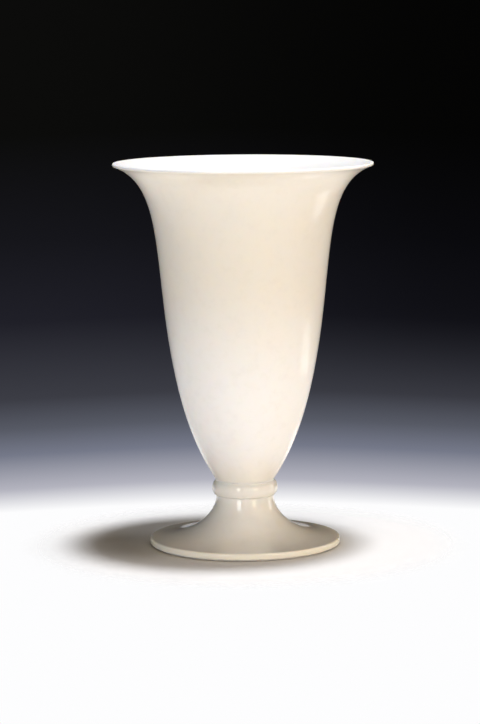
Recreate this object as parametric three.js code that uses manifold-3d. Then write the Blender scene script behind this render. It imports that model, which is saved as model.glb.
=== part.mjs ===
// Footed trumpet vase in glazed porcelain: a flared bowl, a bead collar and a hollow foot,
// stacked on soft gaskets and drawn together by one brass tie rod.
// Millimetres, +Z up. The origin is the centre of the face that the foot stands on.
import * as THREE from "three";
import { mergeVertices } from "three/addons/utils/BufferGeometryUtils.js";
import Module from "manifold-3d";

const wasm = await Module();
wasm.setup();
const degrees = Math.PI / 180;

// Bowl: outside shape
const vaseHeight = 250;
const lipRadius = 84.5;
const lipThickness = 2.2;
const lipRise = 19.7 * degrees; // of the flare's edge above the horizontal
const lipReach = 21.9; // how far the flare keeps its edge's direction
const shoulderRadius = 55.2; // where the belly turns into the flare
const shoulderHeight = 187.2;
const shoulderLean = 6.5 * degrees; // outwards from the vertical
const shoulderReachDown = 36.7;
const shoulderReachUp = 31.2;
const baseLean = 33.9 * degrees; // of the belly where it leaves the collar
const baseReach = 51.9;

// Bowl: walls
const baseWall = 5.2;
const shoulderWall = 3.6;
const floorThickness = 9.5; // porcelain between the collar and the inside floor
const floorFillet = 4;

// Neck: where the three sections meet
const neckRadius = 18.7;
const footHeight = 32.5;
const collarHeight = 9.2;
const beadDepth = 2.7; // how far the collar's bead stands out of the neck
const seamGap = 0.3; // left open by the gaskets, so that porcelain never touches porcelain
const spigotRadius = 10; // of the pegs under the bowl and on the foot that centre the collar
const spigotClearance = 0.4;
const spigotTipGap = 1; // between the ends of the two spigots
const gasketThickness = 1;
const gasketSetback = 3; // from the outside of the neck

// Foot
const footRadius = 62.2;
const brimHeight = 5; // of the foot's edge
const brimSlope = 3 * degrees; // of the foot's top surface at its edge
const brimReach = 34.9;
const neckReach = 7.8;
const brimTopRound = 1.5;
const brimBottomRound = 1;
const brimWall = 3.4;
const neckWall = 5;
const footRingWidth = 5.2; // flat ring that the vase stands on
const footRingTaper = 1; // of the ring's inner side
const deckThickness = 8; // porcelain that the tie rod pulls on
const roofFillet = 2.5;

// Tie rod and its fixings
const rodRadius = 2.9;
const rodChamfer = 0.6;
const rodHoleClearance = 0.7; // round the rod, in porcelain
const threadClearance = 0.3; // round the rod, in nuts, washers and soft rings
const rodProtrusion = 3; // below the foot nut
const washerRadius = 9;
const washerThickness = 1.6;
const sealOverhang = 0.5; // of a soft ring past its washer
const sealThickness = 2;
const nutWall = 1.8; // between the thread and the flats
const footNutHeight = 5;
const capNutHexHeight = 5.5;
const capNutThreadDepth = 8;
const capNutCrown = 4; // above the end of the thread
const capNutDomeStep = 0.4; // between the flats and the dome
const rodTipClearance = 0.5; // between the rod's top and the end of the cap nut's thread
const nutChamfer = 30 * degrees; // of a nut's corners, from its flat face

// Facets
const wideFacets = 56;
const neckFacets = 40;
const smallFacets = 20;
const bellySteps = 9;
const flareSteps = 10;
const lipSteps = 6;
const footSteps = 10;
const beadSteps = 10;
const roundSteps = 3;

// Heights that follow from the stack, from the table up
const collarBottom = footHeight + seamGap;
const collarTop = collarBottom + collarHeight;
const bowlBottom = collarTop + seamGap;
const bowlFloor = bowlBottom + floorThickness;
const footRoof = footHeight - deckThickness;
const rodHoleRadius = rodRadius + rodHoleClearance;
const threadHoleRadius = rodRadius + threadClearance;
const sealRadius = washerRadius + sealOverhang;
const spigotDepth = (bowlBottom - footHeight - spigotTipGap) / 2;
const collarBore = spigotRadius + spigotClearance;
const rebateDepth = gasketThickness - seamGap;
const gasketRadius = neckRadius - gasketSetback;
const rebateRadius = gasketRadius + spigotClearance;
const bowlSealBottom = bowlFloor;
const bowlWasherBottom = bowlSealBottom + sealThickness;
const capNutBottom = bowlWasherBottom + washerThickness;
const footCushionBottom = footRoof - sealThickness;
const footWasherBottom = footCushionBottom - washerThickness;
const footNutBottom = footWasherBottom - footNutHeight;
const nutAcrossFlats = 2 * (threadHoleRadius + nutWall);
const capNutHeight = capNutThreadDepth + capNutCrown;
const capNutDomeRadius = nutAcrossFlats / 2 - capNutDomeStep;
const rodTop = capNutBottom + capNutThreadDepth - rodTipClearance;
const rodBottom = footNutBottom - rodProtrusion;

const porcelain = new THREE.MeshStandardMaterial({ color: 0xece4d6, roughness: 0.12, metalness: 0 });
const brass = new THREE.MeshStandardMaterial({ color: 0xb89a55, roughness: 0.35, metalness: 1 });
const rubber = new THREE.MeshStandardMaterial({ color: 0x2b2a28, roughness: 0.85, metalness: 0 });

// A point of a profile: distance from the axis, and height.
const at = (radius, height) => new THREE.Vector2(radius, height);

// The point a given distance from another, in the direction of an angle above the horizontal.
const from = (point, angle, distance) =>
  at(point.x + distance * Math.cos(angle), point.y + distance * Math.sin(angle));

// Turns a closed profile, listed anticlockwise, about the Z axis.
function revolve(profile, facets) {
  return new THREE.LatheGeometry([...profile, profile[0]], facets).rotateX(Math.PI / 2);
}

// Points along a curve, with both ends.
function pointsAlong(curve, steps) {
  return Array.from({ length: steps + 1 }, (_, step) => curve.getPoint(step / steps));
}

// Points at a distance to the left of a curve, which runs evenly from one wall to another.
function besideCurve(curve, steps, firstWall, lastWall) {
  return pointsAlong(curve, steps).map((point, step) => {
    const tangent = curve.getTangent(step / steps);
    const wall = THREE.MathUtils.lerp(firstWall, lastWall, step / steps);
    return at(point.x - tangent.y * wall, point.y + tangent.x * wall);
  });
}

// Where a line of points first reaches a height (y) or a distance from the axis (x).
function crossing(points, axis, value) {
  const after = points.findIndex((p, i) => i > 0 && (p[axis] - value) * (points[i - 1][axis] - value) <= 0);
  const [a, b] = [points[after - 1], points[after]];
  return a.clone().lerp(b, (value - a[axis]) / (b[axis] - a[axis]));
}

// A rounded corner from one point to another, tangent to the lines that meet at the corner.
function roundCorner(start, corner, end) {
  return pointsAlong(new THREE.QuadraticBezierCurve(start, corner, end), roundSteps);
}

// A flat ring or washer that lies on the XY plane.
function ring(innerRadius, outerRadius, thickness) {
  const section = [
    at(innerRadius, 0),
    at(outerRadius, 0),
    at(outerRadius, thickness),
    at(innerRadius, thickness),
  ];
  return revolve(section, smallFacets);
}

function solidOf(geometry) {
  const bare = geometry.clone();
  bare.deleteAttribute("normal");
  bare.deleteAttribute("uv");
  const merged = mergeVertices(bare, 1e-4);
  const vertProperties = merged.getAttribute("position").array;
  const triVerts = new Uint32Array(merged.index.array);
  return new wasm.Manifold(new wasm.Mesh({ numProp: 3, vertProperties, triVerts }));
}

function geometryOf(solid) {
  const mesh = solid.getMesh();
  const geometry = new THREE.BufferGeometry();
  geometry.setAttribute("position", new THREE.BufferAttribute(mesh.vertProperties, 3));
  geometry.setIndex(new THREE.BufferAttribute(mesh.triVerts, 1));
  geometry.computeVertexNormals();
  return geometry;
}

// The flared bowl, with a spigot under its base that enters the collar.
function bowlGeometry() {
  const lipRound = lipThickness / 2;
  const lipCentre = at(lipRadius - lipRound, vaseHeight - lipRound);
  const edge = from(lipCentre, lipRise - Math.PI / 2, lipRound);
  const base = at(neckRadius, bowlBottom);
  const shoulder = at(shoulderRadius, shoulderHeight);
  const shoulderUp = Math.PI / 2 - shoulderLean;
  const belly = new THREE.CubicBezierCurve(
    base,
    from(base, Math.PI / 2 - baseLean, baseReach),
    from(shoulder, shoulderUp, -shoulderReachDown),
    shoulder,
  );
  const flare = new THREE.CubicBezierCurve(
    shoulder,
    from(shoulder, shoulderUp, shoulderReachUp),
    from(edge, lipRise, -lipReach),
    edge,
  );
  const lipTurn = new THREE.EllipseCurve(
    lipCentre.x,
    lipCentre.y,
    lipRound,
    lipRound,
    lipRise - Math.PI / 2,
    lipRise + Math.PI / 2,
  );
  const lip = pointsAlong(lipTurn, lipSteps);
  const outside = [...pointsAlong(belly, bellySteps), ...pointsAlong(flare, flareSteps).slice(1, -1)];
  const inside = [
    ...besideCurve(flare, flareSteps, shoulderWall, lipThickness).reverse().slice(1),
    ...besideCurve(belly, bellySteps, baseWall, shoulderWall).reverse().slice(1),
  ];
  const wallFoot = crossing(inside, "y", bowlFloor + floorFillet);
  const floorCorner = crossing(inside, "y", bowlFloor);
  const floorEdge = at(floorCorner.x - floorFillet, bowlFloor);
  const profile = [
    at(rodHoleRadius, bowlBottom - spigotDepth),
    at(spigotRadius, bowlBottom - spigotDepth),
    at(spigotRadius, bowlBottom),
    ...outside,
    ...lip,
    ...inside.filter((point) => point.y > wallFoot.y),
    ...roundCorner(wallFoot, floorCorner, floorEdge),
    at(rodHoleRadius, bowlFloor),
  ];
  return revolve(profile, wideFacets);
}

// The collar: a bead outside, a bore for both spigots, and a rebate for a gasket at each end.
function collarGeometry() {
  const middle = collarHeight / 2;
  const bead = new THREE.EllipseCurve(neckRadius, middle, beadDepth, middle, -Math.PI / 2, Math.PI / 2);
  const profile = [
    at(collarBore, rebateDepth),
    at(rebateRadius, rebateDepth),
    at(rebateRadius, 0),
    ...pointsAlong(bead, beadSteps),
    at(rebateRadius, collarHeight),
    at(rebateRadius, collarHeight - rebateDepth),
    at(collarBore, collarHeight - rebateDepth),
  ];
  return revolve(profile, neckFacets);
}

// The hollow foot, with a spigot on top that enters the collar and a flat ring to stand on.
function footGeometry() {
  const brimTop = at(footRadius - brimTopRound, brimHeight);
  const neckTop = at(neckRadius, footHeight);
  const sweep = new THREE.CubicBezierCurve(
    brimTop,
    from(brimTop, Math.PI - brimSlope, brimReach),
    from(neckTop, -Math.PI / 2, neckReach),
    neckTop,
  );
  const hollow = besideCurve(sweep, footSteps, brimWall, neckWall).reverse();
  const roofCorner = crossing(hollow, "y", footRoof);
  const roofEdge = at(roofCorner.x - roofFillet, footRoof);
  const wallTop = crossing(hollow, "y", footRoof - roofFillet);
  const ringOutside = footRadius - brimBottomRound;
  const ringInside = ringOutside - footRingWidth;
  const ringTop = crossing(hollow, "x", ringInside - footRingTaper);
  const profile = [
    at(ringInside, 0),
    ...roundCorner(at(ringOutside, 0), at(footRadius, 0), at(footRadius, brimBottomRound)),
    ...roundCorner(at(footRadius, brimHeight - brimTopRound), at(footRadius, brimHeight), brimTop),
    ...pointsAlong(sweep, footSteps).slice(1),
    at(spigotRadius, footHeight),
    at(spigotRadius, footHeight + spigotDepth),
    at(rodHoleRadius, footHeight + spigotDepth),
    at(rodHoleRadius, footRoof),
    ...roundCorner(roofEdge, roofCorner, wallTop),
    ...hollow.filter((point) => point.y < wallTop.y && point.x < ringTop.x),
    ringTop,
  ];
  return revolve(profile, wideFacets);
}

// The tie rod, with chamfered ends.
function rodGeometry() {
  const tip = rodRadius - rodChamfer;
  const section = [
    at(0, rodBottom),
    at(tip, rodBottom),
    at(rodRadius, rodBottom + rodChamfer),
    at(rodRadius, rodTop - rodChamfer),
    at(tip, rodTop),
    at(0, rodTop),
  ];
  return new THREE.LatheGeometry(section, smallFacets).rotateX(Math.PI / 2);
}

// A hexagonal prism that stands on the XY plane, with a hole for the rod.
function hexagon(height, holeDepth) {
  const cornerRadius = nutAcrossFlats / Math.sqrt(3);
  const corners = Array.from({ length: 6 }, (_, i) => from(at(0, 0), (i * Math.PI) / 3, cornerRadius));
  const prism = new THREE.ExtrudeGeometry(new THREE.Shape(corners), { depth: height, bevelEnabled: false });
  const hole = new THREE.CylinderGeometry(threadHoleRadius, threadHoleRadius, 2 * holeDepth, smallFacets);
  return { prism: solidOf(prism), hole: solidOf(hole.rotateX(Math.PI / 2)), cornerRadius };
}

// A turned blank that takes the sharp corners off a hexagon at its bottom, its top or both.
function cornerCutter(height, cornerRadius, chamferBottom, chamferTop) {
  const flatRadius = nutAcrossFlats / 2;
  const beyond = cornerRadius + flatRadius;
  const drop = (beyond - flatRadius) * Math.tan(nutChamfer);
  const section = [
    at(0, 0),
    at(chamferBottom ? flatRadius : beyond, 0),
    at(beyond, chamferBottom ? drop : 0),
    at(beyond, chamferTop ? height - drop : height),
    at(chamferTop ? flatRadius : beyond, height),
    at(0, height),
  ];
  return solidOf(new THREE.LatheGeometry(section, neckFacets).rotateX(Math.PI / 2));
}

// The plain nut inside the foot.
function footNutGeometry() {
  const { prism, hole, cornerRadius } = hexagon(footNutHeight, 2 * footNutHeight);
  const blank = cornerCutter(footNutHeight, cornerRadius, true, true);
  return geometryOf(prism.intersect(blank).subtract(hole));
}

// The domed cap nut inside the bowl, with a blind hole that keeps water off the thread.
function capNutGeometry() {
  const { prism, hole, cornerRadius } = hexagon(capNutHexHeight, capNutThreadDepth);
  const hexBody = prism.intersect(cornerCutter(capNutHexHeight, cornerRadius, true, true));
  const domeBottom = capNutHeight - capNutDomeRadius;
  const dome = new THREE.EllipseCurve(0, domeBottom, capNutDomeRadius, capNutDomeRadius, 0, Math.PI / 2);
  const section = [at(0, 0), at(capNutDomeRadius, 0), ...pointsAlong(dome, 2 * roundSteps)];
  const domeBody = solidOf(new THREE.LatheGeometry(section, smallFacets).rotateX(Math.PI / 2));
  return geometryOf(hexBody.add(domeBody).subtract(hole));
}

function piece(name, geometry, material, height = 0) {
  const mesh = new THREE.Mesh(geometry, material);
  mesh.name = name;
  mesh.position.z = height;
  return mesh;
}

const gasket = ring(collarBore, gasketRadius, gasketThickness);
const seal = ring(threadHoleRadius, sealRadius, sealThickness);
const washer = ring(threadHoleRadius, washerRadius, washerThickness);

const sections = new THREE.Group();
sections.add(
  piece("foot", footGeometry(), porcelain),
  piece("collar", collarGeometry(), porcelain, collarBottom),
  piece("bowl", bowlGeometry(), porcelain),
  piece("lower_gasket", gasket, rubber, footHeight),
  piece("upper_gasket", gasket, rubber, bowlBottom - gasketThickness),
);

const fixings = new THREE.Group();
fixings.add(
  piece("tie_rod", rodGeometry(), brass),
  piece("bowl_seal", seal, rubber, bowlSealBottom),
  piece("bowl_washer", washer, brass, bowlWasherBottom),
  piece("cap_nut", capNutGeometry(), brass, capNutBottom),
  piece("foot_cushion", seal, rubber, footCushionBottom),
  piece("foot_washer", washer, brass, footWasherBottom),
  piece("foot_nut", footNutGeometry(), brass, footNutBottom),
);

const vase = new THREE.Group();
vase.add(sections, fixings);

export default vase;
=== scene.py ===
# %% [markdown]
# # A footed porcelain vase
# The vase is a flared bowl, a bead collar and a hollow foot, all turned shapes in white porcelain.
# A brass tie rod with nuts, washers and rubber rings draws the three sections together.
# The packed part comes in first. It is the fixed frame that every piece below has to fit.

# %% Load the packed part
import math

import bmesh
import bpy
from mathutils import Matrix, Vector


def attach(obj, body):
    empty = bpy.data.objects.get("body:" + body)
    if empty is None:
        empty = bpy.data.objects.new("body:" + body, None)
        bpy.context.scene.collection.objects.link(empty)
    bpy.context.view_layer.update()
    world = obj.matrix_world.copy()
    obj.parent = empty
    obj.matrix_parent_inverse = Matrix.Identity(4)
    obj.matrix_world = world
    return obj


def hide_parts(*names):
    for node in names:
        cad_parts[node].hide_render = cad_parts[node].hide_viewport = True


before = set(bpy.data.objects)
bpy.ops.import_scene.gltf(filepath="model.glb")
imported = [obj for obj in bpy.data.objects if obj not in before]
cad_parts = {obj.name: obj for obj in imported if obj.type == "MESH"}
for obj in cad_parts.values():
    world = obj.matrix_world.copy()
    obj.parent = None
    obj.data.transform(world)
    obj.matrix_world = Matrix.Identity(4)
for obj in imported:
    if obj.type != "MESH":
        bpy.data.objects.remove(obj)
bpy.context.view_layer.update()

# %% [markdown]
# ## Shared sizes
# The three sections meet at the neck, so the sizes of their seams are noted once. They could be read
# from the packed meshes, but names are easier to follow. All sizes are in millimetres, as a potter
# would note them, and are turned into metres only where a vertex is made.

# %% Sizes that the sections share
MM = 0.001
NECK_RADIUS = 18.7
FOOT_TOP, COLLAR_BOTTOM, COLLAR_TOP, BOWL_BOTTOM = 32.5, 32.8, 42.0, 42.3
SPIGOT_RADIUS, SPIGOT_DEPTH, SPIGOT_BEVEL = 10.0, 4.4, 0.5
ROD_HOLE, HOLE_ROUND = 3.6, 0.6
print("neck diameter", 2 * NECK_RADIUS, "mm, seams", round(COLLAR_BOTTOM - FOOT_TOP, 2), "mm wide")

# %% [markdown]
# ## Turning a shape
# Porcelain sections are formed on a wheel, so each one is a profile turned about an upright axis.
# Blender's Screw modifier could do that, but a small function in mesh code keeps every ring of
# vertices in hand: a radius may also depend on the angle, which a thread or a hexagon needs.

# %% Curves of a profile
def at(radius, height):
    """A point of a profile."""
    return Vector((radius, height))


def toward(point, angle, distance):
    """The point at a distance in the direction of an angle above the horizontal."""
    return point + distance * Vector((math.cos(angle), math.sin(angle)))


def bend(start, leave, arrive, end, steps):
    """A cubic curve as a list of (point, unit direction), both in the plane of radius and height."""
    made = []
    for i in range(steps + 1):
        t = i / steps
        s = 1 - t
        point = s**3 * start + 3 * s * s * t * leave + 3 * s * t * t * arrive + t**3 * end
        slope = s * s * (leave - start) + 2 * s * t * (arrive - leave) + t * t * (end - arrive)
        made.append((point, slope.normalized()))
    return made


def corner(start, middle, end, steps=6):
    """A rounded corner from start to end, tangent to the two lines that meet in the middle."""
    parts = [i / steps for i in range(steps + 1)]
    return [(1 - t) ** 2 * start + 2 * t * (1 - t) * middle + t * t * end for t in parts]


def arc(centre, wide, high, first, last, steps):
    """Points of a round or oval arc between two angles."""
    angles = [first + (last - first) * i / steps for i in range(steps + 1)]
    return [centre + Vector((wide * math.cos(a), high * math.sin(a))) for a in angles]


print("a quarter round has", len(corner(at(0, 0), at(1, 0), at(1, 1))), "points")

# %% Walls beside a curve
def beside(curve, first_wall, last_wall):
    """Points to the left of a curve, at a wall that changes evenly from its start to its end."""
    last = len(curve) - 1
    walls = [first_wall + (last_wall - first_wall) * i / last for i in range(last + 1)]
    return [point + wall * Vector((-way.y, way.x)) for (point, way), wall in zip(curve, walls)]


def reached(points, axis, value):
    """Where a line of points first reaches a radius (axis 0) or a height (axis 1)."""
    for a, b in zip(points, points[1:]):
        if (a[axis] - value) * (b[axis] - value) <= 0:
            return a.lerp(b, (value - a[axis]) / (b[axis] - a[axis]))


print("halfway up a line:", reached([at(0, 0), at(2, 2)], 1, 1))

# %% The lathe
ROUND = 192
pieces = {}


def turn(name, rows, count=ROUND, loop=True, sharp=40):
    """Turns rows of (radius, height) about Z into one closed mesh, and smooths all but sharp edges.
    A radius may be a function of the angle. A loop closes the last row onto the first."""
    made = bmesh.new()
    rings = []
    for radius, height in rows:
        if radius == 0:
            rings.append([made.verts.new((0, 0, height * MM))] * count)
            continue
        ring = []
        for k in range(count):
            a = 2 * math.pi * k / count
            r = (radius(a) if callable(radius) else radius) * MM
            ring.append(made.verts.new((r * math.cos(a), r * math.sin(a), height * MM)))
        rings.append(ring)
    for low, high in zip(rings, rings[1:] + (rings[:1] if loop else [])):
        for k in range(count):
            n = (k + 1) % count
            # At a pole two corners are one vertex, and the keys of a dict hold it only once.
            corners = dict.fromkeys((low[k], low[n], high[n], high[k]))
            made.faces.new(corners).smooth = True
    mesh = bpy.data.meshes.new(name)
    made.to_mesh(mesh)
    made.free()
    mesh.set_sharp_from_angle(angle=math.radians(sharp))
    piece = bpy.data.objects.new(name, mesh)
    bpy.context.collection.objects.link(piece)
    pieces[name] = piece
    print(name, "has", len(mesh.polygons), "faces")
    return piece


def stand_for(piece, node):
    """The piece replaces a packed node, which it hides, and rides with the vase."""
    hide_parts(node)
    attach(piece, "root")


print("the lathe stops", ROUND, "times in a turn")

# %% [markdown]
# ## The bowl
# The bowl leaves the collar steeply, fills out into a long belly, and turns over into a thin lip. It
# could be pulled from a cylinder by hand, but two cubic curves that share a direction at the shoulder
# draw that line without a kink. The inside follows the outside at a wall that thins towards the lip,
# as a cast bowl does, and a short peg under the base centres the bowl in the collar.

# %% Draw the outside of the bowl
VASE_HEIGHT = 249.98
LIP_RADIUS, LIP_THICKNESS, LIP_RISE, LIP_REACH = 84.48, 2.2, math.radians(19.7), 21.9
SHOULDER_RADIUS, SHOULDER_HEIGHT, SHOULDER_LEAN = 55.2, 187.2, math.radians(6.5)
SHOULDER_REACH_DOWN, SHOULDER_REACH_UP = 36.7, 31.2
BASE_LEAN, BASE_REACH = math.radians(33.9), 51.9
lip_round = LIP_THICKNESS / 2
lip_centre = at(LIP_RADIUS - lip_round, VASE_HEIGHT - lip_round)
lip_edge = toward(lip_centre, LIP_RISE - math.pi / 2, lip_round)
lip = arc(lip_centre, lip_round, lip_round, LIP_RISE - math.pi / 2, LIP_RISE + math.pi / 2, 14)
bowl_base = at(NECK_RADIUS, BOWL_BOTTOM)
base_slope = math.pi / 2 - BASE_LEAN
shoulder = at(SHOULDER_RADIUS, SHOULDER_HEIGHT)
shoulder_slope = math.pi / 2 - SHOULDER_LEAN
belly = bend(
    bowl_base,
    toward(bowl_base, base_slope, BASE_REACH),
    toward(shoulder, shoulder_slope, -SHOULDER_REACH_DOWN),
    shoulder,
    44,
)
flare = bend(
    shoulder,
    toward(shoulder, shoulder_slope, SHOULDER_REACH_UP),
    toward(lip_edge, LIP_RISE, -LIP_REACH),
    lip_edge,
    40,
)
outside = [point for point, way in belly + flare[1:-1]]
print("the bowl's outside has", len(outside), "rings")

# %% Turn the bowl
BASE_WALL, SHOULDER_WALL, BASE_ROUND = 5.2, 3.6, 0.12
BOWL_FLOOR, FLOOR_ROUND = 51.8, 4
inside_flare = beside(flare, SHOULDER_WALL, LIP_THICKNESS)[::-1]
inside_belly = beside(belly, BASE_WALL, SHOULDER_WALL)[::-1]
inside = inside_flare[1:] + inside_belly[1:]
wall_foot = reached(inside, 1, BOWL_FLOOR + FLOOR_ROUND)
floor_corner = reached(inside, 1, BOWL_FLOOR)
spigot_end = BOWL_BOTTOM - SPIGOT_DEPTH
base_start = at(NECK_RADIUS - BASE_ROUND, BOWL_BOTTOM)
base_end = toward(bowl_base, base_slope, BASE_ROUND)
hole_start = at(ROD_HOLE + HOLE_ROUND, BOWL_FLOOR)
hole_end = at(ROD_HOLE, BOWL_FLOOR - HOLE_ROUND)
bowl_rows = [
    at(ROD_HOLE, spigot_end),
    at(SPIGOT_RADIUS - SPIGOT_BEVEL, spigot_end),
    at(SPIGOT_RADIUS, spigot_end + SPIGOT_BEVEL),
    at(SPIGOT_RADIUS, BOWL_BOTTOM),
    *corner(base_start, bowl_base, base_end),
    *outside[1:],
    *lip,
    *[point for point in inside if point.y > wall_foot.y],
    *corner(wall_foot, floor_corner, at(floor_corner.x - FLOOR_ROUND, BOWL_FLOOR), 10),
    *corner(hole_start, at(ROD_HOLE, BOWL_FLOOR), hole_end, 4),
]
bowl = turn("flared_bowl", bowl_rows)
stand_for(bowl, "bowl")

# %% [markdown]
# ## The bead collar
# The collar is a short ring with a half-oval bead outside. Its bore takes a peg of the bowl from
# above and a peg of the foot from below, and a shallow rebate at each end holds a gasket. The bead
# could be a torus laid on a tube. One profile is better here, because the bead has to close both
# seams, and a little glaze fills the crease between the bead and the bowl.

# %% Turn the collar
BEAD_DEPTH, BEAD_BOTTOM, BEAD_TOP, BEAD_END = 2.7, 32.56, 42.24, math.radians(66)
COLLAR_BORE, REBATE_RADIUS, REBATE_DEPTH = 10.4, 16.1, 0.7
CREASE_GAP, CREASE_TUCK, CREASE_REACH = at(0.03, 0), 0.15, 1.1
bead_centre = at(NECK_RADIUS, (BEAD_BOTTOM + BEAD_TOP) / 2)
bead_half = (BEAD_TOP - BEAD_BOTTOM) / 2
bead = arc(bead_centre, BEAD_DEPTH, bead_half, -math.pi / 2, BEAD_END, 28)
crease_low = toward(bowl_base, base_slope, CREASE_TUCK) + CREASE_GAP
crease_top = toward(bowl_base, base_slope, CREASE_REACH) + CREASE_GAP
collar_rows = [
    at(COLLAR_BORE, COLLAR_BOTTOM + REBATE_DEPTH),
    at(REBATE_RADIUS, COLLAR_BOTTOM + REBATE_DEPTH),
    at(REBATE_RADIUS, BEAD_BOTTOM),
    *bead[:-1],
    *corner(bead[-1], crease_low, crease_top, 5),
    at(NECK_RADIUS, BEAD_TOP),
    at(REBATE_RADIUS, BEAD_TOP),
    at(REBATE_RADIUS, COLLAR_TOP - REBATE_DEPTH),
    at(COLLAR_BORE, COLLAR_TOP - REBATE_DEPTH),
]
collar = turn("bead_collar", collar_rows)
stand_for(collar, "collar")

# %% [markdown]
# ## The foot
# The foot sweeps from the neck out to a crisp round brim. Underneath it is hollow, with a thick deck
# that the tie rod pulls on and a flat ring that stands on the table. A cone with a bevel would give
# the outline only. A cubic sweep has the right swing, its offset makes the hollow, and an undercut
# below the brim leaves the thin line of shadow that a real foot shows on the table.

# %% Draw the sweep of the foot
FOOT_RADIUS, BRIM_HEIGHT, BRIM_ROUND = 62.2, 5.0, 1.5
BRIM_SLOPE, BRIM_REACH, NECK_REACH = math.radians(3), 34.9, 7.8
brim_top = at(FOOT_RADIUS - BRIM_ROUND, BRIM_HEIGHT)
neck_top = at(NECK_RADIUS, FOOT_TOP)
sweep = bend(
    brim_top,
    toward(brim_top, math.pi - BRIM_SLOPE, BRIM_REACH),
    toward(neck_top, -math.pi / 2, NECK_REACH),
    neck_top,
    56,
)
print("the foot's sweep has", len(sweep), "rings")

# %% Draw the edges of the foot
RING_INSET, RING_WIDTH, UNDERCUT, BRIM_LIFT, NECK_ROUND = 1.0, 5.2, 1.4, 0.9, 0.15
ring_outside = FOOT_RADIUS - RING_INSET
ring_inside = ring_outside - RING_WIDTH
ring_edge = corner(at(ring_inside - 0.7, 0.9), at(ring_inside - 0.1, 0), at(ring_inside + 0.8, 0), 5)
undercut = corner(
    at(ring_outside - UNDERCUT, 0),
    at(ring_outside - 0.9, 0.1),
    at(ring_outside - 0.7, 0.8),
    4,
)
brim_below = corner(
    at(ring_outside, BRIM_LIFT),
    at(FOOT_RADIUS, BRIM_LIFT),
    at(FOOT_RADIUS, BRIM_LIFT + 0.8),
    7,
)
brim_above = corner(at(FOOT_RADIUS, BRIM_HEIGHT - BRIM_ROUND), at(FOOT_RADIUS, BRIM_HEIGHT), brim_top, 9)
neck_start = at(NECK_RADIUS, FOOT_TOP - NECK_ROUND)
neck_edge = corner(neck_start, neck_top, at(NECK_RADIUS - NECK_ROUND, FOOT_TOP))
print("the foot stands on a ring", round(2 * ring_inside, 1), "mm wide inside")

# %% Turn the foot
BRIM_WALL, NECK_WALL = 3.4, 5.0
FOOT_ROOF, ROOF_ROUND = 24.5, 2.5
hollow = beside(sweep, BRIM_WALL, NECK_WALL)[::-1]
roof_corner = reached(hollow, 1, FOOT_ROOF)
wall_top = reached(hollow, 1, FOOT_ROOF - ROOF_ROUND)
ring_top = reached(hollow, 0, ring_inside - 2)
hole_start = at(ROD_HOLE, FOOT_ROOF + HOLE_ROUND)
hole_end = at(ROD_HOLE + HOLE_ROUND, FOOT_ROOF)
spigot_end = FOOT_TOP + SPIGOT_DEPTH
foot_rows = [
    *ring_edge,
    *undercut,
    *brim_below,
    *brim_above,
    *[point for point, way in sweep[1:-1] if point.y < FOOT_TOP - NECK_ROUND],
    *neck_edge,
    at(SPIGOT_RADIUS, FOOT_TOP),
    at(SPIGOT_RADIUS, spigot_end - SPIGOT_BEVEL),
    at(SPIGOT_RADIUS - SPIGOT_BEVEL, spigot_end),
    at(ROD_HOLE, spigot_end),
    *corner(hole_start, at(ROD_HOLE, FOOT_ROOF), hole_end, 4),
    *corner(at(roof_corner.x - ROOF_ROUND, FOOT_ROOF), roof_corner, wall_top, 8),
    *[point for point in hollow if point.y < wall_top.y and point.x < ring_top.x],
    *corner(ring_top, at(ring_inside - 0.9, ring_top.y - 0.1), at(ring_inside - 0.8, 1.2), 5),
]
foot = turn("hollow_foot", foot_rows)
stand_for(foot, "foot")

# %% [markdown]
# ## Soft rings
# Rubber rings keep porcelain away from porcelain and from metal. A flat tube would do for a drawing,
# but a pressed ring swells a little at its free edges, so each edge is a shallow curve.

# %% Turn the gaskets, the seal and the cushion
RING_STEPS = 96
THREAD_HOLE = 3.2
SWELL = 0.12
SEAL_RADIUS, SEAL_THICKNESS = 9.5, 2.0
GASKET_RADIUS, GASKET_THICKNESS = 15.7, 1.0


def soft_ring(name, node, inner, outer, bottom, thickness):
    """A rubber ring whose inner and outer edges swell by a share of its thickness."""
    swell = SWELL * thickness
    half = thickness / 2
    rows = [
        *arc(at(outer - swell, bottom + half), swell, half, -math.pi / 2, math.pi / 2, 8),
        *arc(at(inner + swell, bottom + half), swell, half, math.pi / 2, 3 * math.pi / 2, 8),
    ]
    stand_for(turn(name, rows, RING_STEPS), node)


def gasket(name, node, bottom):
    soft_ring(name, node, COLLAR_BORE, GASKET_RADIUS, bottom, GASKET_THICKNESS)


def seal(name, node, bottom):
    soft_ring(name, node, THREAD_HOLE, SEAL_RADIUS, bottom, SEAL_THICKNESS)


gasket("lower_gasket_ring", "lower_gasket", FOOT_TOP)
gasket("upper_gasket_ring", "upper_gasket", BOWL_BOTTOM - GASKET_THICKNESS)
seal("bowl_seal_ring", "bowl_seal", BOWL_FLOOR)
seal("foot_cushion_ring", "foot_cushion", FOOT_ROOF - SEAL_THICKNESS)

# %% [markdown]
# ## Washers
# A washer spreads the pull of a nut over the rubber below it. It could be a cylinder with a hole, but
# a stamped washer has one side with a soft, drawn-in edge and one with a small crisp edge, and the
# lathe draws both from one profile.

# %% Turn the washers
WASHER_RADIUS, WASHER_THICKNESS, CRISP_EDGE = 9.0, 1.6, 0.1
DRAWN_WIDE, DRAWN_DEEP = 0.5, 0.4
HOLE_WIDE, HOLE_DEEP = 0.4, 0.3


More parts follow.
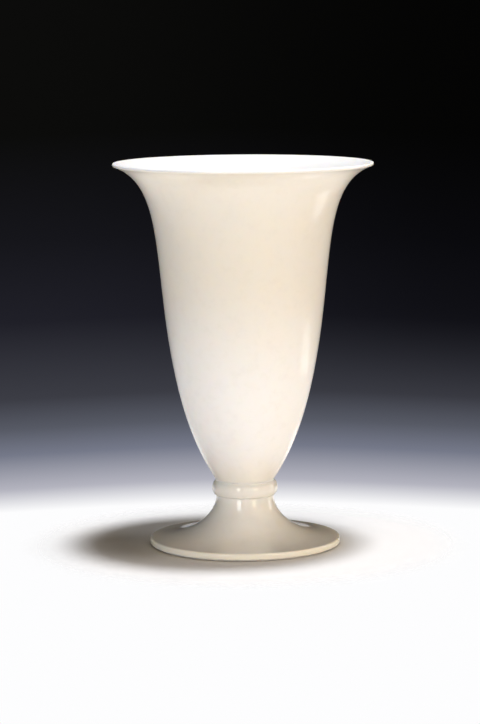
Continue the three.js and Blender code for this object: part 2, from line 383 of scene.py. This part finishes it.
def stamped_washer(name, node, bottom):
    """A brass washer with its drawn-in edges on top."""
    top = bottom + WASHER_THICKNESS
    rim_start = at(WASHER_RADIUS, top - DRAWN_DEEP)
    rim_end = at(WASHER_RADIUS - DRAWN_WIDE, top)
    hole_start = at(THREAD_HOLE + HOLE_WIDE, top)
    hole_end = at(THREAD_HOLE, top - HOLE_DEEP)
    rows = [
        at(THREAD_HOLE, bottom),
        at(WASHER_RADIUS - CRISP_EDGE, bottom),
        at(WASHER_RADIUS, bottom + CRISP_EDGE),
        *corner(rim_start, at(WASHER_RADIUS, top), rim_end, 5),
        *corner(hole_start, at(THREAD_HOLE, top), hole_end, 4),
    ]
    stand_for(turn(name, rows, RING_STEPS, sharp=50), node)


bowl_washer_bottom = BOWL_FLOOR + SEAL_THICKNESS
foot_washer_bottom = FOOT_ROOF - SEAL_THICKNESS - WASHER_THICKNESS
stamped_washer("bowl_washer_disc", "bowl_washer", bowl_washer_bottom)
stamped_washer("foot_washer_disc", "foot_washer", foot_washer_bottom)

# %% [markdown]
# ## The tie rod
# The rod is threaded at both ends and plain between. A thread could be a small profile swept along a
# helix and joined to the rod. It is also a groove that climbs one pitch per turn, so the radius is a
# wave of height and angle together. The lathe takes that directly and the mesh stays closed. The
# chamfer at each end is a cone that the thread may not cross.

# %% Turn the tie rod
FOOT_NUT_HEIGHT = 5.0
CAP_NUT_BOTTOM = bowl_washer_bottom + WASHER_THICKNESS
FOOT_NUT_BOTTOM = foot_washer_bottom - FOOT_NUT_HEIGHT
ROD_RADIUS, ROD_BOTTOM, ROD_TOP = 2.9, FOOT_NUT_BOTTOM - 3.0, CAP_NUT_BOTTOM + 7.5
PITCH, THREAD_DEPTH, CHAMFER, ROWS_PER_TURN = 1.0, 0.45, 0.6, 8
LOWER_THREAD_END, UPPER_THREAD_START = FOOT_ROOF - 1.0, BOWL_FLOOR


def thread_radius(height):
    """The radius at a height as a function of the angle: crest, flank, root, flank."""
    tip = min(height - ROD_BOTTOM, ROD_TOP - height)
    cone = ROD_RADIUS - max(0.0, CHAMFER - tip)
    run_out = min(1.0, max(0.0, LOWER_THREAD_END - height, height - UPPER_THREAD_START) / PITCH)

    def radius(angle):
        phase = (height / PITCH - angle / (2 * math.pi)) % 1.0
        groove = min(1.0, max(0.0, 2.0 - abs(phase - 0.5) * 5.0))
        return min(cone, ROD_RADIUS - THREAD_DEPTH * groove * run_out)

    return radius


def thread_heights(tip, end):
    """Heights of the rows of a thread, from a tip of the rod to the thread's end."""
    count = int(abs(end - tip) / PITCH * ROWS_PER_TURN) + 1
    return [tip + math.copysign(i * PITCH / ROWS_PER_TURN, end - tip) for i in range(count)]


lower = thread_heights(ROD_BOTTOM, LOWER_THREAD_END)
upper = thread_heights(ROD_TOP, UPPER_THREAD_START)[::-1]
rod_rows = [(0, ROD_BOTTOM)] + [(thread_radius(h), h) for h in lower + upper] + [(0, ROD_TOP)]
rod = turn("threaded_tie_rod", rod_rows, 40, loop=False, sharp=60)
stand_for(rod, "tie_rod")

# %% [markdown]
# ## The nuts
# A nut is a hexagon whose corners are cut by a cone, which leaves the curved line on each flat. A
# Boolean cut could do that and would leave ragged faces. The lathe makes it cleanly from the smaller
# of two radii at each angle: the flat's or the cone's. The upper nut ends in a dome, so that no stem
# catches on the rod.

# %% Rows of a hexagon
FLAT = 5.0
CONE_SLOPE = math.radians(30)
SIXTH = math.pi / 3
EDGE_STEPS = [0.0, 0.03, 0.07, 0.12, 0.18, 0.24, 0.3, 0.36, 0.42, 0.46]


def hexagon_row(height, bottom, top):
    """Radius of a chamfered hexagon at a height between its two end faces."""
    cone = FLAT + min(height - bottom, top - height) / math.tan(CONE_SLOPE)

    def radius(angle):
        off_flat = (angle + SIXTH / 2) % SIXTH - SIXTH / 2
        across = FLAT / math.cos(SIXTH / 2 - abs(off_flat))
        return min(cone, across)

    return radius, height


def hexagon_rows(bottom, top):
    """Rows that are close together at both ends, where the cone cuts the corners."""
    lower_end = [hexagon_row(bottom + edge, bottom, top) for edge in EDGE_STEPS]
    upper_end = [hexagon_row(top - edge, bottom, top) for edge in EDGE_STEPS[::-1]]
    return lower_end + upper_end


print("a hexagon has", len(hexagon_rows(0.0, FOOT_NUT_HEIGHT)), "rows")

# %% Turn the foot nut
NUT_STEPS, NUT_SHARP, BORE_BEVEL = 72, 25, 0.4
foot_nut_top = FOOT_NUT_BOTTOM + FOOT_NUT_HEIGHT


def bore_mouth(face, inward):
    """The bevelled mouth of a nut's bore, from inside the bore out to an end face."""
    deep = at(THREAD_HOLE, face + 0.5 * inward)
    turned = at(THREAD_HOLE, face + 0.3 * inward)
    return corner(deep, turned, at(THREAD_HOLE + BORE_BEVEL, face), 2)


foot_nut_rows = [
    *bore_mouth(FOOT_NUT_BOTTOM, 1),
    *hexagon_rows(FOOT_NUT_BOTTOM, foot_nut_top),
    *bore_mouth(foot_nut_top, -1)[::-1],
]
foot_nut = turn("foot_nut_hexagon", foot_nut_rows, NUT_STEPS, sharp=NUT_SHARP)
stand_for(foot_nut, "foot_nut")

# %% Turn the cap nut
CAP_HEX_HEIGHT, CAP_HEIGHT, CAP_BORE, DOME_ROUND = 5.5, 12.0, 8.0, 0.3
cap_hex_top = CAP_NUT_BOTTOM + CAP_HEX_HEIGHT
cap_top = CAP_NUT_BOTTOM + CAP_HEIGHT
bore_end = CAP_NUT_BOTTOM + CAP_BORE
dome_radius = FLAT - 0.4
dome_start = at(dome_radius + DOME_ROUND, cap_hex_top)
dome_rise = at(dome_radius, cap_hex_top + DOME_ROUND)
dome = arc(at(0, cap_top - dome_radius), dome_radius, dome_radius, 0, math.pi / 2, 20)
cap_nut_rows = [
    (0, bore_end),
    at(THREAD_HOLE, bore_end),
    at(THREAD_HOLE, CAP_NUT_BOTTOM + BORE_BEVEL),
    at(THREAD_HOLE + BORE_BEVEL, CAP_NUT_BOTTOM),
    *hexagon_rows(CAP_NUT_BOTTOM, cap_hex_top),
    *corner(dome_start, at(dome_radius, cap_hex_top), dome_rise, 3),
    *dome[:-1],
    (0, cap_top),
]
cap_nut = turn("cap_nut_dome", cap_nut_rows, NUT_STEPS, loop=False, sharp=NUT_SHARP)
stand_for(cap_nut, "cap_nut")

# %% [markdown]
# ## Finishes
# A finish is a small net of nodes. The nodes could be placed by hand in the Shader Editor. Writing
# them as sums in Python keeps them readable: a wire wraps a socket, each sum adds a Math node, and
# one method makes every other kind of node.

# %% Sums of sockets
class Wire:
    """An output socket that can be used in Python sums."""

    def __init__(self, tree, socket=None):
        self.tree, self.socket = tree, socket

    def make(self, kind, settings=None, inputs=None, output=0):
        """Adds a node: its settings first, then the values or links of its sockets."""
        node = self.tree.nodes.new(kind)
        for name, value in (settings or {}).items():
            if name == "stops":
                ramp = node.color_ramp.elements
                while len(ramp) < len(value):
                    ramp.new(1.0)
                for stop, (place, tone) in zip(ramp, value):
                    stop.position, stop.color = place, tone
            else:
                setattr(node, name, value)
        for name, value in (inputs or {}).items():
            if isinstance(value, Wire):
                self.tree.links.new(value.socket, node.inputs[name])
            else:
                node.inputs[name].default_value = value
        return Wire(self.tree, node.outputs[output] if len(node.outputs) else None)

    def sum(self, operation, first, second=0.0):
        return self.make("ShaderNodeMath", {"operation": operation}, {0: first, 1: second})

    def __add__(self, other):
        return self.sum("ADD", self, other)

    def __sub__(self, other):
        return self.sum("SUBTRACT", self, other)

    def __rsub__(self, other):
        return self.sum("SUBTRACT", other, self)

    def __mul__(self, other):
        return self.sum("MULTIPLY", self, other)

    def __pow__(self, other):
        return self.sum("POWER", self, other)

    def __abs__(self):
        return self.sum("ABSOLUTE", self)

    __radd__, __rmul__ = __add__, __mul__

    def either(self, other):
        """The larger of two values, so that a mask holds where either of them does."""
        return self.sum("MAXIMUM", self, other)

    def step(self, low, high):
        """Rises smoothly from 0 at low to 1 at high, or falls if low is above high."""
        first, last = min(low, high), max(low, high)
        ends = (0.0, 1.0) if low < high else (1.0, 0.0)
        return self.make(
            "ShaderNodeMapRange",
            {"interpolation_type": "SMOOTHSTEP"},
            {0: self, 1: first, 2: last, 3: ends[0], 4: ends[1]},
        )

    def mix(self, first, second):
        """Goes from one colour to another as this value goes from 0 to 1."""
        return self.make("ShaderNodeMix", {"data_type": "RGBA"}, {0: self, 6: first, 7: second}, 2)

    def noise(self, place, scale, detail=2.0, rough=0.5):
        inputs = {"Vector": place, "Scale": scale, "Detail": detail, "Roughness": rough}
        return self.make("ShaderNodeTexNoise", {}, inputs)

    def bump(self, strength):
        """A normal from this value, as a height in millimetres."""
        return self.make("ShaderNodeBump", {}, {"Strength": strength, "Distance": MM, "Height": self})


print("a wire can", [name for name in vars(Wire) if not name.startswith("_")])

# %% The start and the end of a finish
def new_finish(name):
    """An empty material, with the place on the object and its parts as wires."""
    finish = bpy.data.materials.new(name)
    finish.use_nodes = True
    finish.node_tree.nodes.clear()
    start = Wire(finish.node_tree)
    place = start.make("ShaderNodeTexCoord", output="Object")
    x, y, z = (start.make("ShaderNodeSeparateXYZ", {}, {0: place}, i) for i in range(3))
    return finish, start, place, (x, y, z)


def close_finish(start, sockets):
    """Ends a finish with one Principled shader."""
    shader = start.make("ShaderNodeBsdfPrincipled", {}, sockets)
    start.make("ShaderNodeOutputMaterial", {}, {"Surface": shader})


def colour(red, green, blue):
    """A colour from 0 to 255 as screens show it, in the linear values that Blender works with."""
    parts = [v / 255 for v in (red, green, blue)]
    return tuple(v / 12.92 if v <= 0.04045 else ((v + 0.055) / 1.055) ** 2.4 for v in parts) + (1.0,)


print("warm white in linear values:", [round(v, 3) for v in colour(236, 228, 214)])

# %% [markdown]
# ## Porcelain glaze
# The body is a dense white clay that lets some light through, and the glaze over it is glossy. One
# flat white would look like plastic, and a painted picture would fit this one mesh only. So noise and
# masks of height and radius set the tone. It drifts slightly, is a little paler on the foot and darker
# in the crease above the foot. Low on the bowl it is paler as painted bounce light from the table, and
# painted light makes the crease under the bowl, the inside of the lip and the edge of the brim lighter.
# The rim is whiter too. The standing ring and the hidden seats are bare clay.

# %% Find where the glaze is bare or darker, and where painted light goes
glaze, start, place, (x, y, z) = new_finish("porcelain_glaze")
radius = (x * x + y * y) ** 0.5


def over(length, low, high):
    """A smooth step of a length between two sizes in millimetres."""
    return length.step(low * MM, high * MM)


neck_skin = over(radius, NECK_RADIUS - 1.2, NECK_RADIUS - 0.4)
# the glaze is darker in the crease above the foot
lower_crease_dark = over(abs(z - FOOT_TOP * MM), 1.2, 0.1) * neck_skin
lower_crease_dark = lower_crease_dark * over(radius, NECK_RADIUS + 5.3, NECK_RADIUS + 1.3)
# painted light: the crease under the bowl is whiter, against the shade that falls in it
crease_painted_light = over(abs(z - (BOWL_BOTTOM + 0.1) * MM), 1.3, 0.3) * neck_skin
crease_painted_light = crease_painted_light * over(radius, NECK_RADIUS + 5.3, NECK_RADIUS + 2.3)
# painted light: the upward-facing inside of the lip is whiter, as if lit from above; the rim is whiter
# too
facing = start.make("ShaderNodeNewGeometry", output="Normal")
upward = start.make("ShaderNodeSeparateXYZ", {}, {0: facing}, 2)
inner_lip_painted_light = upward.step(0.05, 0.5) * over(z, 190, 230)
rim_and_lit_lip = over(z, VASE_HEIGHT - 2.38, VASE_HEIGHT - 0.38).either(inner_lip_painted_light)
# painted light: the outer edge of the brim is lighter and warmer, as if lit from the front
brim_edge_painted_light = over(radius, FOOT_RADIUS - 1.4, FOOT_RADIUS - 0.4)
brim_edge_painted_light = brim_edge_painted_light * over(z, BRIM_HEIGHT + 0.5, BRIM_HEIGHT - 0.5)
ring_bare = over(z, 0.5, 0.15) * over(radius, ring_inside - 0.6, ring_inside - 0.1)
seat_bare = over(radius, NECK_RADIUS - 1.1, NECK_RADIUS - 1.7)
seat_bare = seat_bare * over(z, FOOT_TOP - 0.6, FOOT_TOP - 0.2)
seat_bare = seat_bare * over(z, BOWL_BOTTOM + 0.6, BOWL_BOTTOM + 0.1)
bare = ring_bare.either(seat_bare)
# painted bounce light: the bowl is paler low down, where light from the table reaches it
painted_bounce_belly = over(z, 34, 66) * over(z, 180, 95)
pale_foot = over(z, 48, 42) * 0.35
print("masks of the glaze:", len(glaze.node_tree.nodes), "nodes")

# %% Mix the tones of the glaze
GLAZE, GLAZE_COOL, PALE_AND_BOUNCE_LIGHT = colour(237, 227, 209), colour(234, 226, 212), colour(243, 238, 231)
DARKER_GLAZE, CREASE_PAINTED_LIGHT, BARE = colour(214, 206, 188), colour(251, 243, 229), colour(226, 219, 206)
WHITE_RIM_AND_LIT_LIP, BRIM_PAINTED_LIGHT = colour(249, 249, 249), colour(244, 233, 212)
MOTTLED_SHARE, CREASE_DARK_SHARE = 0.12, 0.4
drift = start.noise(place, 14.0, 3.0).step(0.35, 0.65)
mottle = start.noise(place, 160.0, 4.0, 0.6)
tone = drift.mix(GLAZE, GLAZE_COOL)
# painted bounce light low on the bowl, and a plainly paler foot
tone = painted_bounce_belly.either(pale_foot).mix(tone, PALE_AND_BOUNCE_LIGHT)
tone = (mottle.step(0.45, 0.75) * MOTTLED_SHARE).mix(tone, DARKER_GLAZE)
tone = (lower_crease_dark * CREASE_DARK_SHARE).mix(tone, DARKER_GLAZE)
# painted light in the crease under the bowl
tone = crease_painted_light.mix(tone, CREASE_PAINTED_LIGHT)
# a whiter rim, and painted light on the inside of the lip
tone = rim_and_lit_lip.mix(tone, WHITE_RIM_AND_LIT_LIP)
# painted light on the edge of the brim
tone = brim_edge_painted_light.mix(tone, BRIM_PAINTED_LIGHT)
tone = bare.mix(tone, BARE)
print("tones of the glaze:", len(glaze.node_tree.nodes), "nodes")

# %% Close the glaze
waves = start.noise(place, 26.0, 1.0) * 0.06
fine_waves = start.noise(place, 420.0, 2.0) * 0.004
clay_grain = start.noise(place, 1500.0, 3.0, 0.7) * bare * 0.05
ripple = waves + fine_waves + clay_grain
close_finish(start, {
    "Base Color": tone,
    "Roughness": 0.05 + mottle * 0.04 + inner_lip_painted_light * 0.35 + bare * 0.62,
    "Normal": ripple.bump(1.0),
    "IOR": 1.5,
    "Subsurface Weight": 0.35,
    "Subsurface Radius": (1.0, 0.8, 0.55),
    "Subsurface Scale": 4 * MM,
})
for section in (bowl, collar, foot):
    section.data.materials.append(glaze)
    print(section.name, "is", glaze.name)

# %% [markdown]
# ## Brass
# The rod, nuts and washers are plain turned brass, dulled by handling. A clean metal shader would look
# new, so noise lays a brown film over it, and a wave of radius and height leaves the fine rings of
# the turning tool. Both follow the piece itself, so they need no unwrapping.

# %% Make the brass
CLEAN_BRASS, BROWN_FILM, FILM_SHARE = colour(206, 172, 98), colour(132, 98, 52), 0.75
RINGS_OUTWARD, RINGS_UPWARD = 21000.0, 14000.0
brass, start, place, (x, y, z) = new_finish("turned_brass")
radius = (x * x + y * y) ** 0.5
film = start.noise(place, 240.0, 5.0, 0.65).step(0.42, 0.7)
tool_marks = start.sum("SINE", radius * RINGS_OUTWARD + z * RINGS_UPWARD)
scuffs = start.noise(place, 900.0, 3.0)
marks = tool_marks * 0.004 + scuffs * 0.02
close_finish(start, {
    "Base Color": (film * FILM_SHARE).mix(CLEAN_BRASS, BROWN_FILM),
    "Metallic": 1.0,
    "Roughness": 0.24 + film * 0.22 + scuffs * 0.1,
    "Normal": marks.bump(0.5),
})
print(brass.name, "has", len(brass.node_tree.nodes), "nodes")

# %% [markdown]
# ## Rubber
# The rings are black rubber, matt, with the dusty grey bloom that rubber gets in time. Flat black
# would hide their shape, so noise spreads the bloom and a fine grain breaks up the shine.

# %% Make the rubber and hand out both finishes
BLACK_RUBBER, GREY_BLOOM, BLOOM_SHARE = colour(34, 33, 32), colour(72, 70, 67), 0.6
rubber, start, place, _ = new_finish("black_rubber")
bloom = start.noise(place, 300.0, 5.0, 0.7).step(0.4, 0.75)
grain = start.noise(place, 2500.0, 2.0) * 0.06
close_finish(start, {
    "Base Color": (bloom * BLOOM_SHARE).mix(BLACK_RUBBER, GREY_BLOOM),
    "Roughness": 0.68 + bloom * 0.2,
    "Normal": grain.bump(0.6),
})
for name, piece in pieces.items():
    if not piece.data.materials:
        soft = "gasket" in name or "seal" in name or "cushion" in name
        piece.data.materials.append(rubber if soft else brass)
        print(name, "is", piece.data.materials[0].name)

# %% [markdown]
# ## The table
# The vase stands on white paper that fades into the backdrop close to the vase, as in an overexposed
# studio picture. A plain plane would do for that, but this one is a ring: it is open under the foot's
# hollow and clear from below, so that the underside can be looked at too. In the gloss the paper is
# painted grey away from a lit pool in front of the vase, as painted shade, and a strip behind the vase
# is a painted shadow, so that the lip stays plain and the glints on the foot stay faint. Beyond about
# 750 mm the paper is grey for every ray.

# %% Make the table
TABLE_HOLE, TABLE_END, TABLE_DROP, TABLE_STEPS = 57.0, 2500.0, 0.05, 96
TABLE_RINGS = (TABLE_HOLE, 75, 100, 150, 200, 300, 420, 600, 900, 1500, TABLE_END)
made = bmesh.new()
angles = [2 * math.pi * k / TABLE_STEPS for k in range(TABLE_STEPS)]
rings = []
for r in TABLE_RINGS:
    spots = [(r * MM * math.cos(a), r * MM * math.sin(a), -TABLE_DROP * MM) for a in angles]
    rings.append([made.verts.new(spot) for spot in spots])
for inner, outer in zip(rings, rings[1:]):
    for k in range(TABLE_STEPS):
        n = (k + 1) % TABLE_STEPS
        made.faces.new((inner[k], outer[k], outer[n], inner[n]))
table_mesh = bpy.data.meshes.new("pale_table")
made.to_mesh(table_mesh)
made.free()
table = bpy.data.objects.new("pale_table", table_mesh)
bpy.context.collection.objects.link(table)
table.visible_shadow = False
print("table faces up:", table_mesh.polygons[0].normal.z > 0)

# %% Make the paper of the table
TABLE_FADE, TABLE_GONE = 106, 150
FRONT_SPOT = 0.15
GREY_AND_SHADED_PAPER = colour(96, 98, 108)
table_paint, start, place, (x, y, z) = new_finish("pale_table_paint")
radius = (x * x + y * y) ** 0.5
paper = start.noise(place, 40.0, 3.0).mix(colour(249, 249, 250), colour(252, 252, 253))
# painted light and shade in the gloss: a lit pool in front, grey paper round it, a painted shadow behind
# the vase
from_front = (x * x + (y + FRONT_SPOT) * (y + FRONT_SPOT)) ** 0.5
painted_shadow_behind = over(y, 60, 120) * over(abs(x), 72, 54) * 0.6
in_gloss = start.make("ShaderNodeLightPath", output="Is Glossy Ray")
gloss_painted_shade = over(from_front, 360, 900).either(painted_shadow_behind) * in_gloss
grey_and_painted_shade = gloss_painted_shade.either(over(radius, 750, 950))
surface = start.make("ShaderNodeBsdfPrincipled", {}, {
    "Base Color": grey_and_painted_shade.mix(paper, GREY_AND_SHADED_PAPER),
    "Roughness": 0.7,
})
clear = start.make("ShaderNodeBsdfTransparent")
from_below = start.make("ShaderNodeNewGeometry", output="Backfacing")
looked_at = start.make("ShaderNodeLightPath", output="Is Camera Ray")
hidden = from_below.either(over(radius, TABLE_FADE, TABLE_GONE) * looked_at)
shown = start.make("ShaderNodeMixShader", {}, {0: hidden, 1: surface, 2: clear})
start.make("ShaderNodeOutputMaterial", {}, {"Surface": shown})
table_mesh.materials.append(table_paint)
print(table_paint.name, "has", len(table_paint.node_tree.nodes), "nodes")

# %% [markdown]
# ## Studio light
# White porcelain needs soft light that still leaves one side darker. Lamps high above, in front and at
# the right light the vase and the table together, so they cast its shadow. Fills light the vase alone,
# cool from the left and warm from the right. Tall boxes only draw upright streaks in the gloss, and low
# cards on the table draw the bright rims of the lower bowl. A studio keeps such lights off the table
# with black flags. Light linking and ray visibility do the same in Blender, with no more objects.

# %% A soft box
WHITE = (1.0, 1.0, 1.0)
flagged = bpy.data.collections.new("lit_by_the_boxes")
for piece in pieces.values():
    flagged.objects.link(piece)


def soft_box(name, lights, place, target, size, watts, tint=WHITE, flags=True):
    """A lamp that lights the matt body of a surface or draws in its gloss. Flags keep it on the vase."""
    light = bpy.data.lights.new(name, "AREA")
    light.shape = "RECTANGLE"
    light.size, light.size_y = size
    light.energy, light.color = watts, tint
    lamp = bpy.data.objects.new(name, light)
    bpy.context.collection.objects.link(lamp)
    lamp.location = place
    lamp.rotation_euler = (Vector(target) - Vector(place)).to_track_quat("-Z", "Y").to_euler()
    lamp.visible_camera = False
    lamp.visible_glossy, lamp.visible_diffuse = lights == "gloss", lights == "matt"
    if flags:
        lamp.light_linking.receiver_collection = flagged
    print(name, watts, "W")
    return light


def around(azimuth, distance, height):
    """A place round the vase; azimuth 0 is the camera's side, and it grows to the right."""
    a = math.radians(azimuth)
    return (distance * math.sin(a), -distance * math.cos(a), height)


# %% Lamps for the vase and the table
LAMP_TARGET = (0, 0, 0.1)
ROSY, WARM, AMBER = (1.0, 0.96, 0.96), (1.0, 0.9, 0.8), (1.0, 0.65, 0.25)
DAYLIGHT = (0.96, 0.975, 1.0)
for name, place, width, watts, tint in (
    ("top_light", (0.188, 0.0, 2.6), 0.32, 50.0, DAYLIGHT),
    ("front_top", (0.1, -0.15, 2.6), 0.32, 9.0, ROSY),
    ("front_high", (0.08, -0.75, 2.3), 0.4, 3.0, AMBER),
    ("right_high", around(95, 1.07, 1.19), 0.5, 4.3, WARM),
):
    light = soft_box(name, "matt", place, LAMP_TARGET, (width, width), watts, tint, flags=False)
    if name == "top_light":
        light.shape = "ELLIPSE"

# %% Fills and boxes for the vase alone
LOW_TARGET = (0, 0, 0.12)
HIGH_TARGET = (0, 0, 0.2)
COOL, STRAW, GOLD = (0.8, 0.88, 1.0), (1.0, 0.88, 0.71), (1.0, 0.9, 0.6)
soft_box("front_fill", "matt", around(5, 1.5, 0.12), LOW_TARGET, (1.0, 0.2), 6.9, ROSY)
soft_box("left_fill", "matt", around(-40, 1.45, 0.35), LOW_TARGET, (0.7, 0.5), 6.0, COOL)
soft_box("right_fill", "matt", around(42, 1.4, 0.5), LOW_TARGET, (0.6, 0.4), 3.7, WARM)
soft_box("side_fill", "matt", around(75, 1.5, 0.12), LOW_TARGET, (0.6, 0.2), 3.7, STRAW)
soft_box("left_box", "gloss", around(-24, 1.3, 0.45), HIGH_TARGET, (0.34, 0.9), 6.5)
soft_box("right_box", "gloss", around(37, 1.3, 0.28), LOW_TARGET, (0.25, 0.5), 2.5, GOLD)
soft_box("rear_box", "gloss", around(110, 1.0, 0.2), LOW_TARGET, (0.2, 0.4), 1.0)

# %% Low cards and the fills for the back
CARD_HEIGHT = 0.004
for name, x_place, y_place, size, watts in (
    ("right_card", 0.44, 0.14, (0.24, 0.17), 0.16),
    ("rim_card_left", -0.11, 0.165, (0.07, 0.14), 0.008),
    ("rim_card_right", 0.11, 0.165, (0.07, 0.14), 0.016),
):
    place = (x_place, y_place, CARD_HEIGHT)
    soft_box(name, "gloss", place, (x_place, y_place, 1.0), size, watts)
for name, azimuth in (("back_fill_right", 155), ("back_fill_left", -155)):
    soft_box(name, "matt", around(azimuth, 1.5, 0.15), LOW_TARGET, (0.8, 0.2), 3.0)

# %% [markdown]
# ## The backdrop
# Behind the table the backdrop goes from white at the horizon to nearly black, a little darker at its
# sides and dimmer on the right. It could be a curved sheet with a lamp of its own. A colour ramp over
# the height of the view does the same in the world, and no sheet hides the vase from another side.
# The camera and the gloss see the backdrop, and matt surfaces get only a faint even light.

# %% Draw the backdrop
HORIZON, NIGHT = -0.1992, -0.0492
SIDE_WIDTH, SIDE_FALL = 0.12, 0.0035
RIGHT_WIDTH, RIGHT_DIM = 0.09, 0.64
world = bpy.data.worlds.new("studio")
bpy.context.scene.world = world
world.use_nodes = True
world.node_tree.nodes.clear()
start = Wire(world.node_tree)
way = start.make("ShaderNodeTexCoord", output="Generated")
side = start.make("ShaderNodeSeparateXYZ", {}, {0: way}, 0)
rise = start.make("ShaderNodeSeparateXYZ", {}, {0: way}, 2)
rise = rise + abs(side).step(0.0, SIDE_WIDTH) * SIDE_FALL
climb = start.make("ShaderNodeMapRange", {}, {0: rise, 1: HORIZON, 2: NIGHT})
backdrop = start.make("ShaderNodeValToRGB", {"stops": [
    (0.0, colour(253, 253, 254)),
    (0.117, colour(253, 253, 254)),
    (0.17, colour(180, 180, 191)),
    (0.25, colour(117, 121, 137)),
    (0.31, colour(87, 90, 101)),
    (0.38, colour(60, 61, 69)),
    (0.56, colour(32, 32, 40)),
    (0.75, colour(22, 22, 27)),
    (1.0, colour(12, 12, 11)),
]}, {0: climb})
dim = side.step(-RIGHT_WIDTH, RIGHT_WIDTH) * climb.step(0.3, 0.6) * RIGHT_DIM
backdrop = dim.mix(backdrop, colour(0, 0, 0))
print("backdrop:", len(world.node_tree.nodes), "nodes")

# %% Show the backdrop to the camera and the gloss
FILL_TINT, FILL_STRENGTH = (0.98, 0.99, 1.0, 1.0), 0.01
fill = start.make("ShaderNodeBackground", {}, {"Color": FILL_TINT, "Strength": FILL_STRENGTH})
seen = start.make("ShaderNodeBackground", {}, {"Color": backdrop, "Strength": 1.0})
by_camera = start.make("ShaderNodeLightPath", output="Is Camera Ray")
in_gloss = start.make("ShaderNodeLightPath", output="Is Glossy Ray")
through_glass = start.make("ShaderNodeLightPath", output="Is Transmission Ray")
looked_at = by_camera.either(in_gloss).either(through_glass)
both = start.make("ShaderNodeMixShader", {}, {0: looked_at, 1: fill, 2: seen})
start.make("ShaderNodeOutputWorld", {}, {"Surface": both})
print("world:", len(world.node_tree.nodes), "nodes")

# %% [markdown]
# ## The camera
# The photograph is taken from about two metres away with a long lens, a little above the vase, so
# the lip shows almost edge-on while the foot is seen from above. A camera could be aimed by a Track To
# constraint, but the picture also leans by a third of a degree. Two turns, a tilt down and a roll,
# give both.

# %% Place the camera
PICTURE_HEIGHT, FOCAL_PIXELS, SENSOR = 724, 2807.4, 36.0
EYE_X, EYE_Y, EYE_HEIGHT = -2.7, -1813.6, 362.3
TILT_DOWN, LEAN = 7.615, -0.374
camera = bpy.data.cameras.new("camera")
camera.sensor_width = SENSOR
camera.lens = FOCAL_PIXELS * camera.sensor_width / PICTURE_HEIGHT
eye = bpy.data.objects.new("camera", camera)
bpy.context.collection.objects.link(eye)
tilt = Matrix.Rotation(math.radians(90 - TILT_DOWN), 4, "X")
roll = Matrix.Rotation(math.radians(LEAN), 4, "Z")
eye.matrix_world = Matrix.Translation((EYE_X * MM, EYE_Y * MM, EYE_HEIGHT * MM)) @ tilt @ roll
bpy.context.scene.camera = eye
bpy.context.scene.view_settings.view_transform = "Standard"
print("lens", round(camera.lens, 1), "mm")

# %% [markdown]
# ## Closing
# The finished pieces have to stay inside the packed part's box.
